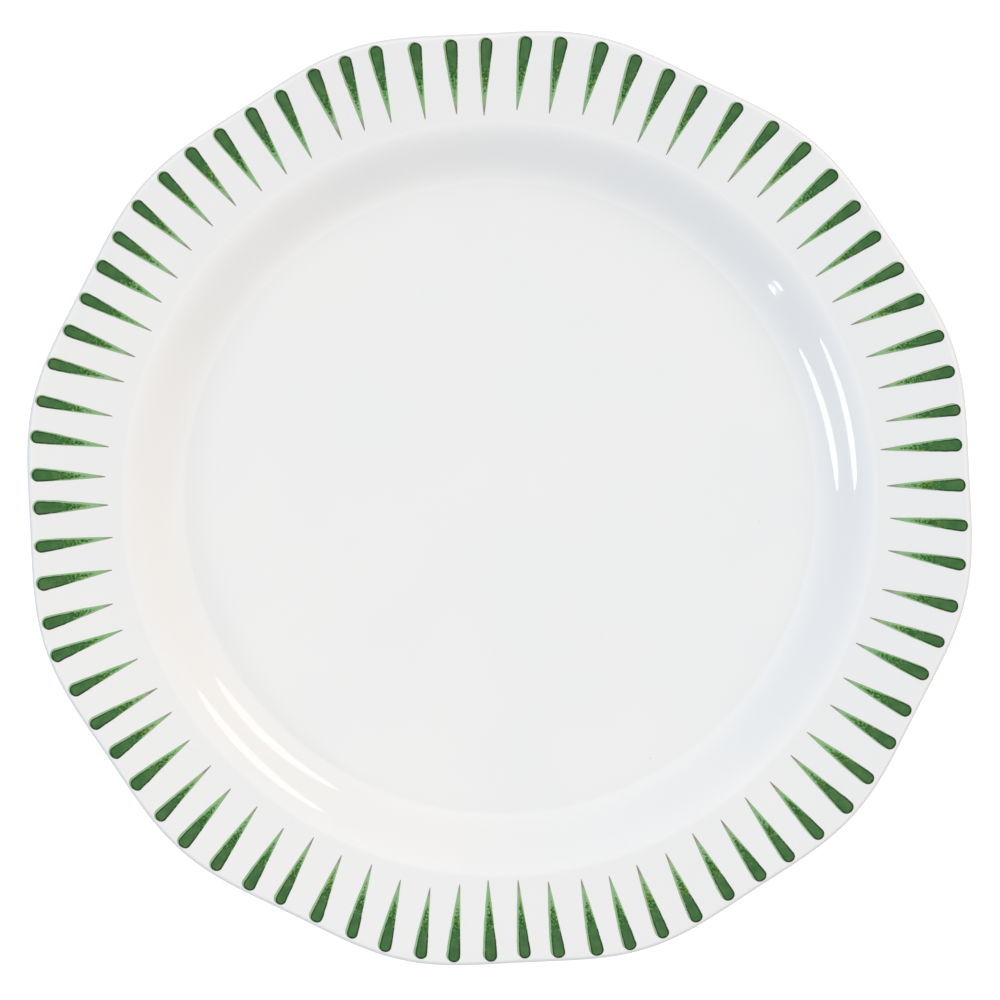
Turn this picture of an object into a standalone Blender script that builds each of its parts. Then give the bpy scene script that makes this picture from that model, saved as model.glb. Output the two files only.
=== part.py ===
"""China dinner plate with a softly lobed rim and a border of green enamel brush strokes.

The plate stands on its foot ring at z = 0, with +Z up through the middle of the well.
Three kinds of layer are built, each as its own closed solid:
  - the fired white body, with its well, wall, rim and bare foot ring;
  - the glaze, as one coat over the face, lip and back, and another inside the foot ring;
  - the enamel strokes, which lie side by side on the glaze around the rim.
A gap of 0.3 mm stands for each fused joint between two layers.
"""

import math

import bmesh
import bpy
from mathutils import Matrix, Vector

MM = 0.001

# Plate, in metres
RIM_RADIUS = 140.0 * MM  # mean radius of the lip
WELL_RADIUS = 94.0 * MM  # flat well, up to the foot of the wall
SHOULDER_RADIUS = 113.0 * MM  # top of the wall, where the rim starts
WALL_RISE = 10.5 * MM
RIM_SLOPE = 0.12  # rise of the rim for each unit of its width
WELL_THICKNESS = 4.6 * MM
LIP_THICKNESS = 3.2 * MM

# Foot ring
FOOT_OUTER = 91.0 * MM  # glazed outer side, at the bottom
FOOT_INNER = 85.6 * MM
FOOT_HEIGHT = 2.9 * MM
FOOT_FLARE = 1.0 * MM  # each side leans out by this much from bottom to top
BARE_FOOT = 1.0 * MM  # height that is left free of glaze

# Lip outline: soft lobes, and the slight oval and square of a lip trimmed by hand
LOBES = 12
LOBE_DEPTH = 1.15 * MM
LOBE_ANGLE = math.radians(18.3)  # crest of the first lobe
OVAL_DEPTH = 0.8 * MM
OVAL_ANGLE = math.radians(2.0)
SQUARE_DEPTH = 0.3 * MM
SQUARE_ANGLE = math.radians(25.0)

# Layers
GLAZE_THICKNESS = 0.4 * MM
JOINT_GAP = 0.3 * MM
BODY_INSET = GLAZE_THICKNESS + JOINT_GAP  # how far the body lies under the glaze's surface

# Enamel strokes: drops with a round outer end and a needle tip that points inwards
STROKES = 78
STROKES_PER_NODE = 2
STROKE_LENGTH = 22.4 * MM
STROKE_WIDTH = 3.76 * MM
STROKE_MARGIN = 1.3 * MM  # from the lip's outline to the round end
STROKE_THICKNESS = 0.5 * MM
STROKE_SHOULDER = 0.3 * MM  # thickness at the shoulders, where the crown starts
STROKE_SHOULDER_WIDTH = 0.75  # distance between the shoulders, as a share of the width
ROUND_END = 0.1  # share of the length that the round end takes
TAPER_POWER = 0.75
FULL_WIDTH = 1.13  # makes the taper reach STROKE_WIDTH just inside the round end
FIRST_STROKE_ANGLE = math.radians(1.8)
THREAD_STATIONS = (0.16, 0.185)  # the thread between two strokes leaves between these
STROKE_STATIONS = (0.015, 0.06, *THREAD_STATIONS, 0.45, 0.72, 0.92)

# Unevenness of strokes set out by eye, once and twice around the rim
SPACING_DRIFT = math.radians(1.5)
SPACING_DRIFT_ANGLE = math.radians(102.0)
SPACING_WOBBLE = math.radians(0.7)
SPACING_WOBBLE_ANGLE = math.radians(129.0)
STROKE_LEAN = math.radians(-0.8)
LEAN_DRIFT = math.radians(1.5)
LEAN_DRIFT_ANGLE = math.radians(224.0)

# Mesh resolution
SEGMENTS = 5 * LOBES
WALL_STEPS = 5
RIM_STEPS = 3
BACK_WALL_STEPS = 4
BACK_RIM_STEPS = 2
LIP_STEPS = 4
SLOPE_STEP = 0.01 * MM
MERGE_DISTANCE = 0.001 * MM


# ---------------------------------------------------------------- section

def smooth(share):
    """Ease from 0 to 1 with a level start and end."""
    share = min(max(share, 0.0), 1.0)
    return share * share * (3.0 - 2.0 * share)


def face_height(radius):
    """Height of the glazed face: flat well, S-shaped wall, straight rim."""
    wall_width = SHOULDER_RADIUS - WELL_RADIUS
    wall = WALL_RISE * smooth((radius - WELL_RADIUS) / wall_width)
    bend = wall_width / 2.0
    outward = max(radius - WELL_RADIUS - bend, 0.0)
    if outward < bend:
        rim = RIM_SLOPE * outward * outward / (2.0 * bend)
    else:
        rim = RIM_SLOPE * (outward - bend / 2.0)
    return FOOT_HEIGHT + WELL_THICKNESS + wall + rim


def face_slope(radius):
    """Angle of the face above level, in radians."""
    rise = face_height(radius + SLOPE_STEP) - face_height(radius - SLOPE_STEP)
    return math.atan2(rise, 2.0 * SLOPE_STEP)


def lip_station():
    """Radius on the face where the rounded lip starts."""
    half = LIP_THICKNESS / 2.0
    return RIM_RADIUS - half - half * math.sin(math.atan(RIM_SLOPE))


def thickness(radius):
    """Thickness of the glazed plate, thinning evenly from the well to the lip."""
    share = (radius - WELL_RADIUS) / (lip_station() - WELL_RADIUS)
    return WELL_THICKNESS + (LIP_THICKNESS - WELL_THICKNESS) * smooth(share)


def under_face(radius, depth):
    """Section point (radius, height) at a depth square to the face."""
    slope = face_slope(radius)
    return (
        radius + depth * math.sin(slope),
        face_height(radius) - depth * math.cos(slope),
    )


def stations(start, end, steps):
    """Evenly spaced radii from start to end, both included."""
    return [start + (end - start) * i / steps for i in range(steps + 1)]


def face_section(inset):
    """Section of the face, from the axis out to the lip."""
    radii = stations(WELL_RADIUS, SHOULDER_RADIUS, WALL_STEPS)
    radii += stations(SHOULDER_RADIUS, lip_station(), RIM_STEPS)[1:]
    axis_point = (0.0, face_height(0.0) - inset)
    return [axis_point] + [under_face(radius, inset) for radius in radii]


def lip_section(inset):
    """Section of the rounded lip, without its two ends."""
    start = lip_station()
    middle_r, middle_z = under_face(start, LIP_THICKNESS / 2.0)
    radius = LIP_THICKNESS / 2.0 - inset
    points = []
    for i in range(1, LIP_STEPS):
        angle = face_slope(start) + math.pi / 2.0 - math.pi * i / LIP_STEPS
        points.append((middle_r + radius * math.cos(angle), middle_z + radius * math.sin(angle)))
    return points


def back_section(inset):
    """Section of the back, from the lip in to the foot ring."""
    radii = stations(lip_station(), SHOULDER_RADIUS, BACK_RIM_STEPS)
    radii += stations(SHOULDER_RADIUS, WELL_RADIUS, BACK_WALL_STEPS)[1:-1]
    return [under_face(radius, thickness(radius) - inset) for radius in radii]


def outer_flank(height, inset):
    """Point on the outer side of the foot ring."""
    return (FOOT_OUTER + FOOT_FLARE * height / FOOT_HEIGHT - inset, height)


def inner_flank(height, inset):
    """Point on the inner side of the foot ring."""
    return (FOOT_INNER - FOOT_FLARE * height / FOOT_HEIGHT + inset, height)


def outer_corner(inset):
    """Corner between the back and the outer side of the foot ring."""
    radius = outer_flank(FOOT_HEIGHT, inset)[0]
    return (radius, FOOT_HEIGHT + inset)


def inner_corner(inset):
    """Corner between the recess and the inner side of the foot ring."""
    radius = inner_flank(FOOT_HEIGHT, inset)[0]
    return (radius, FOOT_HEIGHT + inset)


def upper_section(inset):
    """Section from the axis over the face, lip and back to the foot ring."""
    section = face_section(inset) + lip_section(inset) + back_section(inset)
    return section + [outer_corner(inset)]


# ---------------------------------------------------------------- outline

def lip_wave(angle):
    """How far the lip stands out from its mean radius at an angle around the plate."""
    lobes = LOBE_DEPTH * math.cos(LOBES * (angle - LOBE_ANGLE))
    oval = OVAL_DEPTH * math.cos(2.0 * (angle - OVAL_ANGLE))
    square = SQUARE_DEPTH * math.cos(4.0 * (angle - SQUARE_ANGLE))
    return lobes + oval + square


def wave_share(radius):
    """Share of the lip's wave at a radius: none at the shoulder, all at the lip."""
    return smooth((radius - SHOULDER_RADIUS) / (lip_station() - SHOULDER_RADIUS))


def turned_mesh(name, section):
    """Turn a closed section around Z and give its rim the lobed outline."""
    bm = bmesh.new()
    verts = [bm.verts.new((radius, 0.0, height)) for radius, height in section]
    on_axis = section[0][0] == 0.0
    pairs = list(zip(verts, verts[1:]))
    if not on_axis:
        pairs.append((verts[-1], verts[0]))
    edges = [bm.edges.new(pair) for pair in pairs]
    bmesh.ops.rotate(bm, verts=verts, matrix=Matrix.Rotation(LOBE_ANGLE, 3, "Z"))
    bmesh.ops.spin(
        bm,
        geom=verts + edges,
        cent=(0.0, 0.0, 0.0),
        axis=(0.0, 0.0, 1.0),
        angle=2.0 * math.pi,
        steps=SEGMENTS,
        use_merge=True,
    )
    bmesh.ops.remove_doubles(bm, verts=bm.verts, dist=MERGE_DISTANCE)
    for vert in bm.verts:
        radius = math.hypot(vert.co.x, vert.co.y)
        if radius > SHOULDER_RADIUS:
            angle = math.atan2(vert.co.y, vert.co.x)
            stretch = 1.0 + lip_wave(angle) * wave_share(radius) / radius
            vert.co.x *= stretch
            vert.co.y *= stretch
    bmesh.ops.recalc_face_normals(bm, faces=bm.faces)
    mesh = bpy.data.meshes.new(name)
    bm.to_mesh(mesh)
    bm.free()
    return mesh


# ---------------------------------------------------------------- materials

def make_material(name, colour, roughness):
    """Opaque, non-metallic material."""
    material = bpy.data.materials.new(name)
    material.use_nodes = True
    shader = material.node_tree.nodes["Principled BSDF"]
    shader.inputs["Base Color"].default_value = (*colour, 1.0)
    shader.inputs["Roughness"].default_value = roughness
    shader.inputs["Metallic"].default_value = 0.0
    material.diffuse_color = (*colour, 1.0)
    return material


def bare_china():
    return make_material("bare_china", (0.83, 0.81, 0.77), 0.55)


def white_glaze():
    return make_material("white_glaze", (0.86, 0.86, 0.85), 0.12)


def green_enamel():
    return make_material("green_enamel", (0.065, 0.17, 0.06), 0.2)


# ---------------------------------------------------------------- objects

def add_object(name, mesh, material, parent):
    """Put a mesh in the scene as a named piece of the plate."""
    mesh.materials.append(material)
    mesh.shade_smooth()
    mesh.set_sharp_from_angle(angle=math.radians(35.0))
    piece = bpy.data.objects.new(name, mesh)
    piece.parent = parent
    bpy.context.collection.objects.link(piece)
    return piece


def plate_body(material, parent):
    """Fired body under the glaze, with the bare foot ring that the plate stands on."""
    section = upper_section(BODY_INSET)
    section.append(outer_flank(0.0, BODY_INSET))
    section.append(inner_flank(0.0, BODY_INSET))
    section.append(inner_corner(BODY_INSET))
    section.append((0.0, FOOT_HEIGHT + BODY_INSET))
    return add_object("plate_body", turned_mesh("plate_body", section), material, parent)


def face_and_back_glaze(material, parent):
    """Coat of glaze over the well, wall, rim, lip and back, down to the bare foot."""
    section = upper_section(0.0)
    section.append(outer_flank(BARE_FOOT, 0.0))
    section.append(outer_flank(BARE_FOOT, GLAZE_THICKNESS))
    section += reversed(upper_section(GLAZE_THICKNESS))
    mesh = turned_mesh("face_and_back_glaze", section)
    return add_object("face_and_back_glaze", mesh, material, parent)


def foot_recess_glaze(material, parent):
    """Coat of glaze on the underside of the well, inside the foot ring."""
    section = [(0.0, FOOT_HEIGHT)]
    section.append(inner_corner(0.0))
    section.append(inner_flank(BARE_FOOT, 0.0))
    section.append(inner_flank(BARE_FOOT, GLAZE_THICKNESS))
    section.append(inner_corner(GLAZE_THICKNESS))
    section.append((0.0, FOOT_HEIGHT + GLAZE_THICKNESS))
    mesh = turned_mesh("foot_recess_glaze", section)
    return add_object("foot_recess_glaze", mesh, material, parent)


# ---------------------------------------------------------------- enamel strokes

def stroke_angle(index):
    """Where a stroke's round end lies around the plate."""
    turn = 2.0 * math.pi * index / STROKES
    drift = SPACING_DRIFT * math.cos(turn - SPACING_DRIFT_ANGLE)
    wobble = SPACING_WOBBLE * math.cos(2.0 * turn - SPACING_WOBBLE_ANGLE)
    return FIRST_STROKE_ANGLE + turn + drift + wobble


def stroke_lean(angle):
    """How far a stroke leans from pointing at the middle of the plate."""
    return STROKE_LEAN + LEAN_DRIFT * math.cos(angle - LEAN_DRIFT_ANGLE)


def stroke_width(share):
    """Width of a stroke at a share of its length, from the round end to the tip."""
    width = STROKE_WIDTH * FULL_WIDTH * (1.0 - share) ** TAPER_POWER
    if share < ROUND_END:
        width *= math.sqrt(1.0 - (1.0 - share / ROUND_END) ** 2)
    return width


def rim_height(x, y):
    """Height of the lobed glaze surface at a point of the rim."""
    radius = math.hypot(x, y)
    wave = lip_wave(math.atan2(y, x))
    unwaved = radius - wave * wave_share(radius)
    return face_height(radius - wave * wave_share(unwaved))


def stroke_point(bm, x, y, lift):
    """Vertex of a stroke at a height above the glaze."""
    return bm.verts.new((x, y, rim_height(x, y) + lift))


def stroke_rings(bm, index):
    """One stroke's tip, and its cross-sections up to it.

    A section runs through bottom left, bottom right, right shoulder, crown and left shoulder.
    """
    angle = stroke_angle(index)
    outer = RIM_RADIUS + lip_wave(angle) - STROKE_MARGIN
    start = Vector((outer * math.cos(angle), outer * math.sin(angle)))
    heading = angle + math.pi + stroke_lean(angle)
    along = Vector((math.cos(heading), math.sin(heading)))
    across = Vector((along.y, -along.x))
    low = JOINT_GAP
    mid = low + STROKE_SHOULDER
    rings = []
    for share in STROKE_STATIONS:
        middle = start + along * share * STROKE_LENGTH
        half = stroke_width(share) / 2.0
        side = half * STROKE_SHOULDER_WIDTH
        top = mid + (STROKE_THICKNESS - STROKE_SHOULDER) * half / (STROKE_WIDTH / 2.0)
        ring = []
        for offset, lift in ((-half, low), (half, low), (side, mid), (0.0, top), (-side, mid)):
            point = middle + across * offset
            ring.append(stroke_point(bm, point.x, point.y, lift))
        rings.append(ring)
    end = start + along * STROKE_LENGTH
    return rings, stroke_point(bm, end.x, end.y, low)


def skin_stroke(bm, rings, tip):
    """Close one stroke's cross-sections and tip into a solid."""
    for ring, following in zip(rings, rings[1:]):
        for i, corner in enumerate(ring):
            j = (i + 1) % len(ring)
            bm.faces.new((corner, ring[j], following[j], following[i]))
    bm.faces.new(reversed(rings[0]))
    last = rings[-1]
    for i, corner in enumerate(last):
        bm.faces.new((corner, last[(i + 1) % len(last)], tip))


def side_face(rings, left):
    """The small side face between the thread stations, as its four corners."""
    near = rings[STROKE_STATIONS.index(THREAD_STATIONS[0])]
    far = rings[STROKE_STATIONS.index(THREAD_STATIONS[1])]
    low, high = (0, 4) if left else (1, 2)
    return {near[low], near[high], far[low], far[high]}


def join_strokes(bm, rings, following):
    """Run a thread of enamel from one stroke's side to the next stroke's side."""
    corners = (side_face(rings, left=False), side_face(following, left=True))
    ends = [face for face in bm.faces if set(face.verts) in corners]
    edges = [edge for face in ends for edge in face.edges]
    bmesh.ops.delete(bm, geom=ends, context="FACES_ONLY")
    bmesh.ops.bridge_loops(bm, edges=edges)


def enamel_strokes(node, material, parent):
    """Neighbouring strokes, joined by threads of enamel into one solid."""
    bm = bmesh.new()
    first = node * STROKES_PER_NODE
    strokes = []
    for index in range(first, first + STROKES_PER_NODE):
        rings, tip = stroke_rings(bm, index)
        skin_stroke(bm, rings, tip)
        strokes.append(rings)
    for rings, following in zip(strokes, strokes[1:]):
        join_strokes(bm, rings, following)
    bmesh.ops.recalc_face_normals(bm, faces=bm.faces)
    name = f"enamel_strokes_{node + 1:02d}"
    mesh = bpy.data.meshes.new(name)
    bm.to_mesh(mesh)
    bm.free()
    return add_object(name, mesh, material, parent)


# ---------------------------------------------------------------- plate

def clear_scene():
    for piece in list(bpy.data.objects):
        bpy.data.objects.remove(piece, do_unlink=True)


def build_plate():
    clear_scene()
    plate = bpy.data.objects.new("dinner_plate", None)
    bpy.context.collection.objects.link(plate)
    plate_body(bare_china(), plate)
    glaze = white_glaze()
    face_and_back_glaze(glaze, plate)
    foot_recess_glaze(glaze, plate)
    enamel = green_enamel()
    for node in range(STROKES // STROKES_PER_NODE):
        enamel_strokes(node, enamel, plate)


build_plate()
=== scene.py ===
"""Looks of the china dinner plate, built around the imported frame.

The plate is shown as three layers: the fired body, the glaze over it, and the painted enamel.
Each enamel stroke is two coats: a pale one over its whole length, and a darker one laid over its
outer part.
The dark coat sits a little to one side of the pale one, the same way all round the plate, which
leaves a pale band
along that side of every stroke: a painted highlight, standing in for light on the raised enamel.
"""

import math
import random

import bmesh
import bpy
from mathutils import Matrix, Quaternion, Vector


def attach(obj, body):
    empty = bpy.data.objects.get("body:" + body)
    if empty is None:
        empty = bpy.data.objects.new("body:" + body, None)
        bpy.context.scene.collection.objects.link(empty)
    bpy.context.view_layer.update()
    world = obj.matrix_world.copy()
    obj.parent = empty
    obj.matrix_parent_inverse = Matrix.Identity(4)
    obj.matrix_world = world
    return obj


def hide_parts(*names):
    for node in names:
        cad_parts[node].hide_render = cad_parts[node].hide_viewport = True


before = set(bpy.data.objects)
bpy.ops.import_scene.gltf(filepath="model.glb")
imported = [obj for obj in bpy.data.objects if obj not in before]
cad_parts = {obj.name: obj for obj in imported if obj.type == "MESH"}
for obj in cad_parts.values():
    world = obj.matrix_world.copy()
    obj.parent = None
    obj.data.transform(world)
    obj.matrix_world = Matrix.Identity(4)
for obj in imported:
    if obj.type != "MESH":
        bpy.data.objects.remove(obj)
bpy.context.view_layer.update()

MM = 0.001

# Plate, as in the CAD model
RIM_RADIUS = 140.0 * MM
WELL_RADIUS = 94.0 * MM
SHOULDER_RADIUS = 113.0 * MM
WALL_RISE = 10.5 * MM
RIM_SLOPE = 0.12
WELL_THICKNESS = 4.6 * MM
LIP_THICKNESS = 3.2 * MM
FOOT_OUTER = 91.0 * MM
FOOT_INNER = 85.6 * MM
FOOT_HEIGHT = 2.9 * MM
FOOT_FLARE = 1.0 * MM
BARE_FOOT = 1.0 * MM
LOBES = 12
LOBE_DEPTH = 1.15 * MM
LOBE_ANGLE = math.radians(18.3)
OVAL_DEPTH = 0.8 * MM
OVAL_ANGLE = math.radians(2.0)
SQUARE_DEPTH = 0.3 * MM
SQUARE_ANGLE = math.radians(25.0)

# Layers
GLAZE_THICKNESS = 0.3 * MM
BODY_INSET = 0.32 * MM
FOOT_EASING = 0.7 * MM
CORNER_EASING = 1.6 * MM

# Enamel strokes
STROKES = 78
STROKES_PER_NODE = 2
STROKE_LENGTH = 22.4 * MM
STROKE_WIDTH = 3.9 * MM
STROKE_MARGIN = 1.5 * MM  # from the lip to the round end
MARGIN_DRIFT = 0.4 * MM
MARGIN_DRIFT_ANGLE = math.radians(205.0)
ROUND_END = 0.09
BLUNT_TIP = 0.07  # width at the tip, as a share of the whole width
FIRST_STROKE_ANGLE = math.radians(1.8)
SPACING_DRIFT = math.radians(1.5)
SPACING_DRIFT_ANGLE = math.radians(102.0)
SPACING_WOBBLE = math.radians(0.7)
SPACING_WOBBLE_ANGLE = math.radians(129.0)
SPACING_TREMOR = math.radians(0.22)
SPACING_TREMOR_ANGLE = math.radians(29.0)
SPACING_QUIVER = math.radians(0.18)
SPACING_QUIVER_ANGLE = math.radians(-42.0)
STROKE_LEAN = math.radians(-0.8)
LEAN_DRIFT = math.radians(1.5)
LEAN_DRIFT_ANGLE = math.radians(224.0)
# Painted highlight: the dark coat is shifted the same way on every stroke, so a pale band shows
# along one side, standing in for light on the raised enamel.
HIGHLIGHT_SHIFT = 0.5 * MM  # from the pale coat to the dark coat
HIGHLIGHT_SHIFT_ANGLE = math.radians(-27.0)
COAT_SPREAD = 0.15 * MM  # the pale coat is this much wider than the stroke, the dark one narrower
PALE_HEIGHT = 0.09 * MM
DARK_HEIGHT = 0.17 * MM
ENAMEL_DEPTH = 0.05 * MM  # how far the enamel has sunk into the glaze

# How much one stroke differs from the next
ANGLE_JITTER = 0.2  # degrees
HEADING_JITTER = 0.9  # degrees
MARGIN_JITTER = 0.3  # mm
LENGTH_JITTER = 0.6  # mm
WIDTH_JITTER = 0.17  # mm
FULLNESS_RANGE = (1.15, 1.5)  # how late a stroke narrows towards its tip
REACH_RANGE = (0.79, 0.87)  # share of the stroke that its dark coat covers

# Colour bands of the glaze, as distances from the axis
# Painted shade: the glaze is a little darker from the outer wall over the rim, between these radii.
RIM_SHADE_START = 101.0 * MM
RIM_SHADE_END = 117.0 * MM
# Painted shade: a grey line along the rounded lip, between these radii.
LIP_SHADE_START = 138.8 * MM
LIP_SHADE_END = 139.6 * MM

# Mesh resolution
SEGMENTS = 30 * LOBES
ROUND_STEPS = 9
BODY_STEPS = 44
ACROSS_STEPS = 16

# View and light
FRAME_WIDTH = 297.0 * MM  # what the picture takes in at the height of the lip
CAMERA_SHIFT = Vector((0.12, -0.56)) * MM
LENS = 100.0  # mm
SENSOR = 36.0  # mm
LIGHT_DISTANCE = 1.6  # metres
BRIGHT_SIDE = 64.0  # azimuth in degrees, as is the next
WARM_SIDE = 0.0


# ---------------------------------------------------------------- section

def smooth(share):
    """Ease from 0 to 1 with a level start and end."""
    share = min(max(share, 0.0), 1.0)
    return share * share * (3.0 - 2.0 * share)


def face_height(radius):
    """Height of the glazed face: flat well, S-shaped wall, straight rim."""
    wall_width = SHOULDER_RADIUS - WELL_RADIUS
    wall = WALL_RISE * smooth((radius - WELL_RADIUS) / wall_width)
    bend = wall_width / 2.0
    outward = max(radius - WELL_RADIUS - bend, 0.0)
    if outward < bend:
        rim = RIM_SLOPE * outward * outward / (2.0 * bend)
    else:
        rim = RIM_SLOPE * (outward - bend / 2.0)
    return FOOT_HEIGHT + WELL_THICKNESS + wall + rim


def face_slope(radius):
    """Angle of the face above level, in radians."""
    step = 0.01 * MM
    return math.atan2(face_height(radius + step) - face_height(radius - step), 2.0 * step)


def under_face(radius, depth):
    """Section point at a depth square to the face."""
    slope = face_slope(radius)
    return Vector((
        radius + depth * math.sin(slope),
        face_height(radius) - depth * math.cos(slope),
    ))


LIP_STATION = RIM_RADIUS - LIP_THICKNESS / 2.0 * (1.0 + math.sin(math.atan(RIM_SLOPE)))
LIP_MIDDLE = under_face(LIP_STATION, LIP_THICKNESS / 2.0)


def thickness(radius):
    """Thickness of the glazed plate, thinning evenly from the well to the lip."""
    share = (radius - WELL_RADIUS) / (LIP_STATION - WELL_RADIUS)
    return WELL_THICKNESS + (LIP_THICKNESS - WELL_THICKNESS) * smooth(share)


def stations(start, end, steps):
    """Evenly spaced values from start to end, both included."""
    return [start + (end - start) * i / steps for i in range(steps + 1)]


def eased(before, corner, after, reach, steps=6):
    """Corner of a section turned into a curve that begins and ends at this reach from it."""
    start = corner + (before - corner).normalized() * reach
    end = corner + (after - corner).normalized() * reach
    return [
        start.lerp(corner, share).lerp(corner.lerp(end, share), share)
        for share in stations(0.0, 1.0, steps)
    ]


def flank(side, height, inset):
    """Point on the outer (side 1) or inner (side -1) side of the foot ring."""
    foot = FOOT_OUTER if side > 0 else FOOT_INNER
    return Vector((foot + side * (FOOT_FLARE * height / FOOT_HEIGHT - inset), height))


def face_section(inset, detail):
    """Section of the face, from the axis out to the lip."""
    radii = stations(WELL_RADIUS * 0.25, WELL_RADIUS, 3)
    radii += stations(WELL_RADIUS, SHOULDER_RADIUS, 9 * detail)[1:]
    radii += stations(SHOULDER_RADIUS, LIP_STATION, 5 * detail)[1:]
    return [Vector((0.0, face_height(0.0) - inset))] + [under_face(r, inset) for r in radii]


def lip_section(inset, detail):
    """Section of the rounded lip, without its two ends."""
    radius = LIP_THICKNESS / 2.0 - inset
    top = face_slope(LIP_STATION) + math.pi / 2.0
    angles = stations(top, top - math.pi, 5 * detail)[1:-1]
    return [LIP_MIDDLE + Vector((math.cos(a), math.sin(a))) * radius for a in angles]


def back_section(inset, detail):
    """Section of the back, from the lip in to the foot ring."""
    radii = stations(LIP_STATION, SHOULDER_RADIUS, 4 * detail)
    radii += stations(SHOULDER_RADIUS, WELL_RADIUS + CORNER_EASING, 7 * detail)[1:]
    return [under_face(r, thickness(r) - inset) for r in radii]


def foot_corner(side, inset, foot_end):
    """Eased corner between the foot ring's side and the back or the recess."""
    corner = flank(side, FOOT_HEIGHT, inset)
    corner.y += inset
    level = corner + Vector((side, 0.0))
    return eased(level, corner, foot_end, CORNER_EASING - inset)


def coat_end(side):
    """Rounded end of the glaze on the foot ring's side, from its surface to its inner face."""
    outer = flank(side, BARE_FOOT, 0.0)
    inner = flank(side, BARE_FOOT, GLAZE_THICKNESS)
    drop = Vector((0.0, -GLAZE_THICKNESS / 2.0))
    middle = (outer + inner) / 2.0
    half = (outer - inner) / 2.0
    return [
        middle + half * math.cos(a) + drop * math.sin(a)
        for a in stations(0.0, math.pi, 6)
    ]


def upper_section(inset, detail, foot_end):
    """Section from the axis over the face, lip and back to the side of the foot ring."""
    section = face_section(inset, detail) + lip_section(inset, detail)
    return section + back_section(inset, detail) + foot_corner(1, inset, foot_end)


# ---------------------------------------------------------------- outline

def lip_wave(angle):
    """How far the lip stands out from its mean radius at an angle around the plate."""
    lobes = LOBE_DEPTH * math.cos(LOBES * (angle - LOBE_ANGLE))
    oval = OVAL_DEPTH * math.cos(2.0 * (angle - OVAL_ANGLE))
    square = SQUARE_DEPTH * math.cos(4.0 * (angle - SQUARE_ANGLE))
    return lobes + oval + square


def wave_share(radius):
    """Share of the lip's wave at a radius: none at the shoulder, all at the lip."""
    return smooth((radius - SHOULDER_RADIUS) / (LIP_STATION - SHOULDER_RADIUS))


def rim_height(x, y):
    """Height of the glaze at a point of the lobed rim."""
    radius = math.hypot(x, y)
    wave = lip_wave(math.atan2(y, x))
    unwaved = radius - wave * wave_share(radius)
    unwaved = radius - wave * wave_share(unwaved)
    if unwaved <= LIP_STATION:
        return face_height(unwaved)
    outward = unwaved - LIP_MIDDLE.x
    return LIP_MIDDLE.y + math.sqrt((LIP_THICKNESS / 2.0) ** 2 - outward * outward)


def add_mesh(name, verts, faces, material, attributes):
    """Closed mesh as a smooth object whose faces point out, with a value of each kind per point."""
    mesh = bpy.data.meshes.new(name)
    mesh.from_pydata(verts, [], faces)
    bm = bmesh.new()
    bm.from_mesh(mesh)
    bmesh.ops.recalc_face_normals(bm, faces=bm.faces)
    bm.to_mesh(mesh)
    bm.free()
    mesh.materials.append(material)
    mesh.shade_smooth()
    mesh.set_sharp_from_angle(angle=math.radians(50.0))
    for title, values in attributes.items():
        attribute = mesh.attributes.new(title, "FLOAT", "POINT")
        attribute.data.foreach_set("value", values)
    piece = bpy.data.objects.new(name, mesh)
    bpy.context.scene.collection.objects.link(piece)
    return piece


def capped_faces(rings, count):
    """Faces over rings of points, closed to the first point at one end and the last at the other."""
    last = rings * count + 1
    faces = []
    for i in range(count):
        j = (i + 1) % count
        faces.append((0, 1 + i, 1 + j))
        faces.append((last, last - count + j, last - count + i))
        for ring in range(rings - 1):
            low = 1 + ring * count
            high = low + count
            faces.append((low + i, high + i, high + j, low + j))
    return faces


def turned(name, section, material):
    """Section turned around Z, with the rim's lobes. It starts and ends on the axis."""
    verts = [(0.0, 0.0, section[0].y)]
    for point in section[1:-1]:
        share = wave_share(point.x)
        for i in range(SEGMENTS):
            angle = 2.0 * math.pi * i / SEGMENTS
            radius = point.x + lip_wave(angle) * share
            verts.append((radius * math.cos(angle), radius * math.sin(angle), point.y))
    verts.append((0.0, 0.0, section[-1].y))
    radii = [0.0] + [p.x for p in section[1:-1] for _ in range(SEGMENTS)] + [0.0]
    faces = capped_faces(len(section) - 2, SEGMENTS)
    return add_mesh(name, verts, faces, material, {"radius": radii})


def show(piece, node):
    """Puts a piece on the plate in place of its CAD node."""
    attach(piece, "root")
    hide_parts(node)


# ---------------------------------------------------------------- nodes

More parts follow.
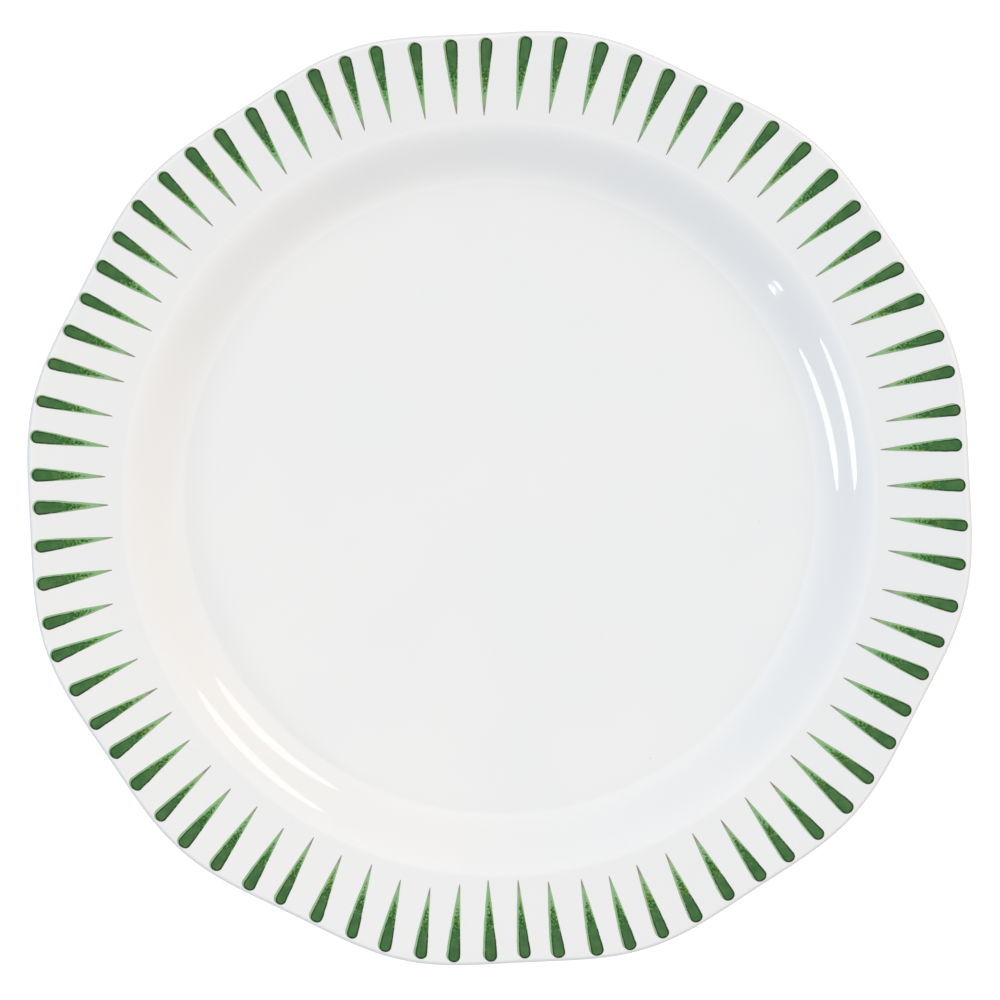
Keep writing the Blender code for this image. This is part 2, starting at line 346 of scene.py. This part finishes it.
class Nodes:
    """Short way to write a node tree."""

    def __init__(self, tree):
        self.tree = tree

    def add(self, kind, **settings):
        node = self.tree.nodes.new(kind)
        for key, value in settings.items():
            setattr(node, key, value)
        return node

    def link(self, source, target):
        self.tree.links.new(source, target)

    def put(self, value, socket):
        """Links an output to a socket, or sets the socket's own value."""
        if isinstance(value, bpy.types.NodeSocket):
            self.link(value, socket)
        else:
            socket.default_value = value

    def maths(self, operation, first, second=0.0):
        node = self.add("ShaderNodeMath", operation=operation)
        self.put(first, node.inputs[0])
        self.put(second, node.inputs[1])
        return node.outputs[0]

    def mix(self, factor, first, second, blend="MIX"):
        node = self.add("ShaderNodeMix", data_type="RGBA", blend_type=blend)
        self.put(factor, node.inputs["Factor"])
        self.put(first, node.inputs["A"])
        self.put(second, node.inputs["B"])
        return node.outputs["Result"]

    def step(self, value, low, high):
        """Eases from 0 to 1 as a value goes from low to high."""
        node = self.add("ShaderNodeMapRange", interpolation_type="SMOOTHSTEP")
        self.put(value, node.inputs["Value"])
        self.put(low, node.inputs["From Min"])
        self.put(high, node.inputs["From Max"])
        return node.outputs["Result"]

    def place(self):
        return self.add("ShaderNodeTexCoord").outputs["Object"]

    def noise(self, size, detail=2.0, roughness=0.5):
        """Noise from 0 to 1 whose features are about this size, in metres."""
        node = self.add("ShaderNodeTexNoise")
        self.link(self.place(), node.inputs["Vector"])
        node.inputs["Scale"].default_value = 1.0 / size
        node.inputs["Detail"].default_value = detail
        node.inputs["Roughness"].default_value = roughness
        return node.outputs["Fac"]

    def seen(self, light, view):
        """One value for the light that reaches the plate, and another for the view."""
        in_view = self.add("ShaderNodeLightPath").outputs["Is Camera Ray"]
        return self.maths("ADD", self.maths("MULTIPLY", in_view, view - light), light)

    def attribute(self, name):
        return self.add("ShaderNodeAttribute", attribute_name=name).outputs["Fac"]

    def bump(self, height, distance, normal=None):
        """Normal with a relief of this height in metres."""
        node = self.add("ShaderNodeBump")
        node.inputs["Strength"].default_value = 1.0
        node.inputs["Distance"].default_value = distance
        self.link(height, node.inputs["Height"])
        if normal is not None:
            self.link(normal, node.inputs["Normal"])
        return node.outputs["Normal"]


def new_material(name):
    """Material with a Principled BSDF, as (material, nodes, shader)."""
    material = bpy.data.materials.new(name)
    material.use_nodes = True
    shader = material.node_tree.nodes["Principled BSDF"]
    shader.inputs["Metallic"].default_value = 0.0
    shader.inputs["IOR"].default_value = 1.5
    return material, Nodes(material.node_tree), shader


def rgb(red, green, blue):
    return (red, green, blue, 1.0)


def glaze_material():
    """Clear glossy white glaze, faintly uneven, with a rare iron speck; painted shade makes it a
    little darker over the outer wall and rim, and darker again along the lip.
    """
    material, nodes, shader = new_material("glossy_white_glaze")
    cloud = nodes.step(nodes.noise(45 * MM), 0.35, 0.65)
    white = nodes.mix(cloud, rgb(0.873, 0.862, 0.85), rgb(0.858, 0.852, 0.846))
    cells = nodes.add("ShaderNodeTexVoronoi")
    nodes.link(nodes.place(), cells.inputs["Vector"])
    cells.inputs["Scale"].default_value = 1.0 / (14 * MM)
    near = nodes.step(cells.outputs["Distance"], 0.022, 0.01)
    chosen = nodes.step(nodes.noise(30 * MM, 0.0), 0.6, 0.64)
    speck = nodes.maths("MULTIPLY", near, chosen)
    speck = nodes.maths("MULTIPLY", speck, 0.35)
    radius = nodes.attribute("radius")
    # Painted shade over the outer wall and rim.
    rim_shade_colour = nodes.mix(cloud, rgb(0.858, 0.846, 0.837), rgb(0.846, 0.836, 0.831))
    white = nodes.mix(nodes.step(radius, RIM_SHADE_START, RIM_SHADE_END), white, rim_shade_colour)
    # Painted shade: a grey line along the lip.
    lip = nodes.step(radius, LIP_SHADE_START, LIP_SHADE_END)
    white = nodes.mix(lip, white, rgb(0.772, 0.767, 0.76))
    colour = nodes.mix(speck, white, rgb(0.42, 0.36, 0.3))
    nodes.link(colour, shader.inputs["Base Color"])
    rough = nodes.maths("MULTIPLY", nodes.noise(6 * MM, 3.0), 0.03)
    nodes.link(nodes.maths("ADD", rough, 0.035), shader.inputs["Roughness"])
    swell = nodes.bump(nodes.noise(14 * MM, 1.0), 0.008 * MM)
    peel = nodes.bump(nodes.noise(1.6 * MM, 1.0), 0.0004 * MM, swell)
    nodes.link(peel, shader.inputs["Normal"])
    return material


def body_material():
    """Bare fired china: matt, warm and finely grained."""
    material, nodes, shader = new_material("bare_fired_china")
    cloud = nodes.noise(7 * MM, 3.0)
    grain = nodes.noise(0.35 * MM, 3.0, 0.6)
    warm = nodes.mix(cloud, rgb(0.82, 0.79, 0.74), rgb(0.74, 0.71, 0.66))
    colour = nodes.mix(nodes.step(grain, 0.55, 0.75), warm, rgb(0.62, 0.59, 0.54))
    nodes.link(colour, shader.inputs["Base Color"])
    rough = nodes.maths("MULTIPLY", grain, 0.2)
    nodes.link(nodes.maths("ADD", rough, 0.5), shader.inputs["Roughness"])
    nodes.link(nodes.bump(grain, 0.03 * MM), shader.inputs["Normal"])
    return material


def pale_material():
    """Pale green coat, which turns grey-brown at the needle tip. Where it shows along one side of
    the dark coat, it is a painted highlight.
    """
    material, nodes, shader = new_material("pale_green_enamel_and_painted_highlight")
    along = nodes.attribute("along")
    grey = nodes.attribute("grey")
    mottle = nodes.noise(0.9 * MM, 3.0, 0.6)
    fresh = nodes.mix(mottle, rgb(0.165, 0.39, 0.135), rgb(0.3, 0.5, 0.26))
    dull = nodes.mix(mottle, rgb(0.26, 0.41, 0.2), rgb(0.4, 0.51, 0.33))
    tip = nodes.maths("ADD", along, nodes.maths("MULTIPLY", nodes.maths("ADD", mottle, grey), 0.1))
    end = nodes.step(tip, 0.93, 1.06)
    colour = nodes.mix(end, nodes.mix(grey, fresh, dull), rgb(0.28, 0.255, 0.2))
    nodes.link(colour, shader.inputs["Base Color"])
    shader.inputs["Roughness"].default_value = 0.25
    nodes.link(nodes.bump(mottle, 0.012 * MM), shader.inputs["Normal"])
    return material


def dark_material():
    """Dark green coat: even at its round end, and sponged out towards the tip."""
    material, nodes, shader = new_material("dark_green_enamel")
    along = nodes.attribute("along")
    edge = nodes.attribute("edge")
    sponge = nodes.noise(0.6 * MM, 3.0, 0.6)
    cloud = nodes.noise(3.5 * MM, 2.0)
    even = nodes.mix(nodes.step(cloud, 0.3, 0.7), rgb(0.04, 0.13, 0.037), rgb(0.066, 0.172, 0.054))
    rim = nodes.mix(nodes.step(cloud, 0.5, 0.64), rgb(0.007, 0.045, 0.002), rgb(0.03, 0.028, 0.002))
    thick = nodes.maths("ADD", edge, nodes.maths("MULTIPLY", along, 0.55))
    pooled = nodes.mix(nodes.step(thick, 0.76, 0.45), even, rim)
    pooled = nodes.mix(nodes.step(along, 0.3, 0.55), pooled, rgb(0.018, 0.08, 0.012))
    grain = nodes.maths("MULTIPLY", nodes.maths("SUBTRACT", sponge, 0.5), 1.9)
    frayed = nodes.maths("MULTIPLY", nodes.step(edge, 0.5, 0.0), 0.2)
    worn = nodes.maths("ADD", nodes.maths("ADD", along, grain), frayed)
    leaf = nodes.mix(nodes.step(cloud, 0.53, 0.63), rgb(0.08, 0.235, 0.055), rgb(0.125, 0.24, 0.03))
    bright = nodes.mix(nodes.step(worn, 0.48, 0.56), pooled, leaf)
    colour = nodes.mix(nodes.step(worn, 0.73, 0.82), bright, rgb(0.24, 0.43, 0.19))
    nodes.link(colour, shader.inputs["Base Color"])
    shader.inputs["Roughness"].default_value = 0.22
    shader.inputs["Specular IOR Level"].default_value = 0.3
    nodes.link(nodes.bump(sponge, 0.012 * MM), shader.inputs["Normal"])
    return material


# ---------------------------------------------------------------- body and glaze

def china_body(material):
    """Fired body, which shows only on the bare foot ring."""
    outer = flank(1, 0.0, BODY_INSET)
    inner = flank(-1, 0.0, BODY_INSET)
    section = upper_section(BODY_INSET, 2, outer)
    section += eased(section[-1], outer, inner, FOOT_EASING)
    section += eased(outer, inner, flank(-1, FOOT_HEIGHT, BODY_INSET), FOOT_EASING)
    section += reversed(foot_corner(-1, BODY_INSET, inner))
    section.append(Vector((0.0, FOOT_HEIGHT + BODY_INSET)))
    return turned("china_body", section, material)


def face_and_back_coat(material):
    """Glaze over the face, lip and back, down to the bare foot."""
    end = flank(1, 0.0, 0.0)
    section = upper_section(0.0, 4, end)
    section += coat_end(1)
    inner = upper_section(GLAZE_THICKNESS, 2, flank(1, 0.0, GLAZE_THICKNESS))
    section += reversed(inner)
    return turned("face_and_back_coat", section, material)


def recess_coat(material):
    """Glaze on the underside of the well, inside the foot ring."""
    section = [Vector((0.0, FOOT_HEIGHT))]
    section += foot_corner(-1, 0.0, flank(-1, 0.0, 0.0))
    section += coat_end(-1)
    section += reversed(foot_corner(-1, GLAZE_THICKNESS, flank(-1, 0.0, GLAZE_THICKNESS)))
    section.append(Vector((0.0, FOOT_HEIGHT + GLAZE_THICKNESS)))
    return turned("foot_recess_coat", section, material)


# ---------------------------------------------------------------- enamel

def stroke_angle(index):
    """Where a stroke's round end lies around the plate."""
    turn = 2.0 * math.pi * index / STROKES
    drift = SPACING_DRIFT * math.cos(turn - SPACING_DRIFT_ANGLE)
    wobble = SPACING_WOBBLE * math.cos(2.0 * turn - SPACING_WOBBLE_ANGLE)
    tremor = SPACING_TREMOR * math.cos(3.0 * turn - SPACING_TREMOR_ANGLE)
    quiver = SPACING_QUIVER * math.cos(4.0 * turn - SPACING_QUIVER_ANGLE)
    return FIRST_STROKE_ANGLE + turn + drift + wobble + tremor + quiver


def stroke_lean(angle):
    """How far a stroke leans from pointing at the middle of the plate."""
    return STROKE_LEAN + LEAN_DRIFT * math.cos(angle - LEAN_DRIFT_ANGLE)


def uneven_edge(hand):
    """Small wander of one painted edge, as a function of the share of the length."""
    waves = [(hand.uniform(0.01, 0.03) * MM, hand.uniform(8, 40), hand.uniform(0, 6.3))
             for _ in range(3)]
    return lambda share: sum(size * math.sin(pace * share + start) for size, pace, start in waves)


def coat_rings(length, width, fullness, height):
    """Cross-sections of one coat of a stroke: (distance along, share, half width, height)."""
    shares = [ROUND_END * (1.0 - math.cos(t)) for t in stations(0.0, math.pi / 2.0, ROUND_STEPS)]
    shares = shares[1:] + stations(ROUND_END, 1.0, BODY_STEPS)[1:]
    rings = []
    for share in shares:
        taper = max(share - ROUND_END, 0.0) / (1.0 - ROUND_END)
        half = width / 2.0 * (1.0 - (1.0 - BLUNT_TIP) * taper ** fullness)
        if share < ROUND_END:
            half *= math.sqrt(1.0 - (1.0 - share / ROUND_END) ** 2)
        rings.append((share * length, share, half, height * min(1.0, half / (0.25 * width)) ** 0.5))
    return rings


def coat_ring(distance, share, half, top, width, edges):
    """Points of one cross-section: (distance along, offset, lift, share, distance from the edge)."""
    points = []
    for i in range(ACROSS_STEPS + 1):
        across = -math.cos(math.pi * i / ACROSS_STEPS)
        edge = edges[0](share) if across < 0 else edges[1](share)
        offset = across * (half + edge * smooth(half / (0.5 * width)))
        rise = math.sqrt(1.0 - across ** 6)
        lift = (top + ENAMEL_DEPTH) * rise - ENAMEL_DEPTH
        margin = min(half * (1.0 - abs(across)), distance)
        points.append((distance, offset, lift, share, margin))
    return points


def stroke_coat(name, start, along, length, width, fullness, height, reach, grey, hand, material):
    """One coat of a stroke: a closed pad with a rounded edge, from round end to needle tip.

    reach is the share of the whole stroke that the coat covers.
    """
    edges = (uneven_edge(hand), uneven_edge(hand))
    rings = coat_rings(length, width, fullness, height)
    points = [(0.0, 0.0, -ENAMEL_DEPTH, 0.0, 0.0)]
    for ring in rings:
        points += coat_ring(*ring, width, edges)
    points.append((length + BLUNT_TIP * width / 2.0, 0.0, -ENAMEL_DEPTH / 2.0, 1.0, 0.0))
    across = Vector((along.y, -along.x))
    verts = []
    for distance, offset, lift, _, _ in points:
        place = start + along * distance + across * offset
        verts.append((place.x, place.y, rim_height(place.x, place.y) + lift))
    attributes = {
        "along": [point[3] * reach for point in points],
        "edge": [point[4] / MM for point in points],
        "grey": [grey] * len(points),
    }
    faces = capped_faces(len(rings), ACROSS_STEPS + 1)
    return add_mesh(name, verts, faces, material, attributes)


def enamel_stroke(index, node, pale, dark):
    """Both coats of one brush stroke, a little different each time."""
    hand = random.Random(index + 1)
    angle = stroke_angle(index) + math.radians(hand.gauss(0.0, ANGLE_JITTER))
    margin = STROKE_MARGIN - MARGIN_DRIFT * math.cos(angle - MARGIN_DRIFT_ANGLE)
    outer = RIM_RADIUS + lip_wave(angle) - margin
    outer += hand.uniform(-MARGIN_JITTER, MARGIN_JITTER) * MM
    start = Vector((outer * math.cos(angle), outer * math.sin(angle)))
    heading = angle + math.pi + stroke_lean(angle) + math.radians(hand.gauss(0.0, HEADING_JITTER))
    along = Vector((math.cos(heading), math.sin(heading)))
    length = STROKE_LENGTH + hand.gauss(0.0, LENGTH_JITTER) * MM
    width = STROKE_WIDTH + hand.gauss(0.0, WIDTH_JITTER) * MM
    fullness = hand.uniform(*FULLNESS_RANGE)
    # Painted highlight: the pale coat is set off to one side of the dark coat, the same way all
    # round the plate.
    highlight_offset = Vector((math.cos(HIGHLIGHT_SHIFT_ANGLE), math.sin(HIGHLIGHT_SHIFT_ANGLE))) * HIGHLIGHT_SHIFT
    first = start - highlight_offset / 2.0
    second = start + highlight_offset / 2.0
    reach = hand.uniform(*REACH_RANGE)
    dark_run = first + along * (length * reach) - second
    grey = hand.uniform(0.0, 1.0)
    number = f"{index + 1:02d}"
    coats = (
        stroke_coat(f"pale_coat_and_highlight_{number}", first, along, length, width + COAT_SPREAD,
                    fullness, PALE_HEIGHT, 1.0, grey, hand, pale),
        stroke_coat(f"dark_stroke_{number}", second, dark_run.normalized(), dark_run.length,
                    width - COAT_SPREAD, fullness, DARK_HEIGHT, reach, grey, hand, dark),
    )
    for coat in coats:
        show(coat, node)


# ---------------------------------------------------------------- plate

def build_plate():
    glaze = glaze_material()
    show(china_body(body_material()), "plate_body")
    show(face_and_back_coat(glaze), "face_and_back_glaze")
    show(recess_coat(glaze), "foot_recess_glaze")
    pale = pale_material()
    dark = dark_material()
    for index in range(STROKES):
        node = f"enamel_strokes_{index // STROKES_PER_NODE + 1:02d}"
        enamel_stroke(index, node, pale, dark)


# ---------------------------------------------------------------- studio

def floor():
    """Pale sheet that the plate stands on. It looks white, and lights the underside only softly."""
    mesh = bpy.data.meshes.new("floor")
    steps = 96
    reach = 30.0
    points = [(reach * math.cos(a), reach * math.sin(a), 0.0)
              for a in stations(0.0, 2.0 * math.pi, steps)[:-1]]
    mesh.from_pydata(points, [], [tuple(range(steps))])
    sheet = bpy.data.objects.new("floor", mesh)
    bpy.context.scene.collection.objects.link(sheet)
    material, nodes, shader = new_material("pale_floor")
    shader.inputs["Base Color"].default_value = rgb(0.4, 0.4, 0.4)
    shader.inputs["Roughness"].default_value = 0.9
    shader.inputs["Specular IOR Level"].default_value = 0.0
    shader.inputs["Emission Color"].default_value = rgb(1.0, 1.0, 1.0)
    nodes.link(nodes.seen(0.3, 0.78), shader.inputs["Emission Strength"])
    mesh.materials.append(material)


def sky():
    """Soft light from all round, stronger from the far right, and dark where the camera hangs.

    The view itself shows it as plain white.
    """
    world = bpy.data.worlds.new("studio")
    bpy.context.scene.world = world
    world.use_nodes = True
    nodes = Nodes(world.node_tree)
    background = world.node_tree.nodes["Background"]
    direction = nodes.add("ShaderNodeTexCoord").outputs["Generated"]

    def facing(azimuth):
        """0 away from an azimuth and 1 towards it."""
        dot = nodes.add("ShaderNodeVectorMath", operation="DOT_PRODUCT")
        nodes.link(direction, dot.inputs[0])
        dot.inputs[1].default_value = (
            math.cos(math.radians(azimuth)), math.sin(math.radians(azimuth)), 0.0)
        half = nodes.maths("MULTIPLY", dot.outputs["Value"], 0.5)
        return nodes.maths("ADD", half, 0.5)

    split = nodes.add("ShaderNodeSeparateXYZ")
    nodes.link(direction, split.inputs[0])
    around = nodes.mix(facing(BRIGHT_SIDE), rgb(0.235, 0.285, 0.34), rgb(1.06, 1.05, 1.04))
    above = nodes.step(split.outputs["Z"], 0.0, 1.0)
    level = nodes.mix(above, around, rgb(1.12, 1.12, 1.12))
    tint = nodes.mix(facing(WARM_SIDE), rgb(0.88, 0.985, 1.09), rgb(1.1, 1.01, 0.92))
    tinted = nodes.mix(1.0, level, tint, "MULTIPLY")
    overhead = nodes.step(split.outputs["Z"], 0.95, 0.992)
    colour = nodes.mix(overhead, tinted, rgb(0.4, 0.4, 0.4))
    colour = nodes.mix(nodes.seen(0.0, 1.0), colour, rgb(1.0, 1.0, 1.0))
    nodes.link(colour, background.inputs["Color"])
    background.inputs["Strength"].default_value = 1.03


def soft_box(name, azimuth, elevation, width, height, roll, radiance, colour):
    """Oval light that faces the plate. Its sizes are angles in degrees as seen from the plate."""
    light = bpy.data.lights.new(name, "AREA")
    light.shape = "ELLIPSE"
    light.size = 2.0 * LIGHT_DISTANCE * math.tan(math.radians(width / 2.0))
    light.size_y = 2.0 * LIGHT_DISTANCE * math.tan(math.radians(height / 2.0))
    light.energy = radiance * math.pi * math.pi / 4.0 * light.size * light.size_y
    light.color = colour
    lamp = bpy.data.objects.new(name, light)
    a, e = math.radians(azimuth), math.radians(elevation)
    towards = Vector((math.cos(a) * math.cos(e), math.sin(a) * math.cos(e), math.sin(e)))
    lamp.location = towards * LIGHT_DISTANCE
    turn = Quaternion((0.0, 0.0, 1.0), math.radians(roll))
    lamp.rotation_euler = (towards.to_track_quat("Z", "Y") @ turn).to_euler()
    lamp.visible_camera = False
    bpy.context.scene.collection.objects.link(lamp)


def camera():
    """Camera straight above the plate."""
    data = bpy.data.cameras.new("camera")
    data.lens = LENS
    data.sensor_width = SENSOR
    view = bpy.data.objects.new("camera", data)
    rise = FRAME_WIDTH * LENS / SENSOR
    view.location = (CAMERA_SHIFT.x, CAMERA_SHIFT.y, LIP_MIDDLE.y + rise)
    bpy.context.scene.collection.objects.link(view)
    bpy.context.scene.camera = view


def studio():
    floor()
    sky()
    soft_box("left_light", azimuth=193.8, elevation=23.9, width=23.5, height=5.0, roll=6.5,
             radiance=8.0, colour=(0.97, 0.99, 1.0))
    soft_box("right_light", azimuth=46.5, elevation=25.9, width=26.0, height=9.0, roll=6.5,
             radiance=2.7, colour=(0.99, 1.0, 0.975))
    soft_box("small_window", azimuth=217.3, elevation=19.7, width=1.7, height=0.4, roll=0.0,
             radiance=24.0, colour=(1.0, 1.0, 1.0))
    camera()
    bpy.context.scene.view_settings.view_transform = "Standard"


build_plate()
studio()
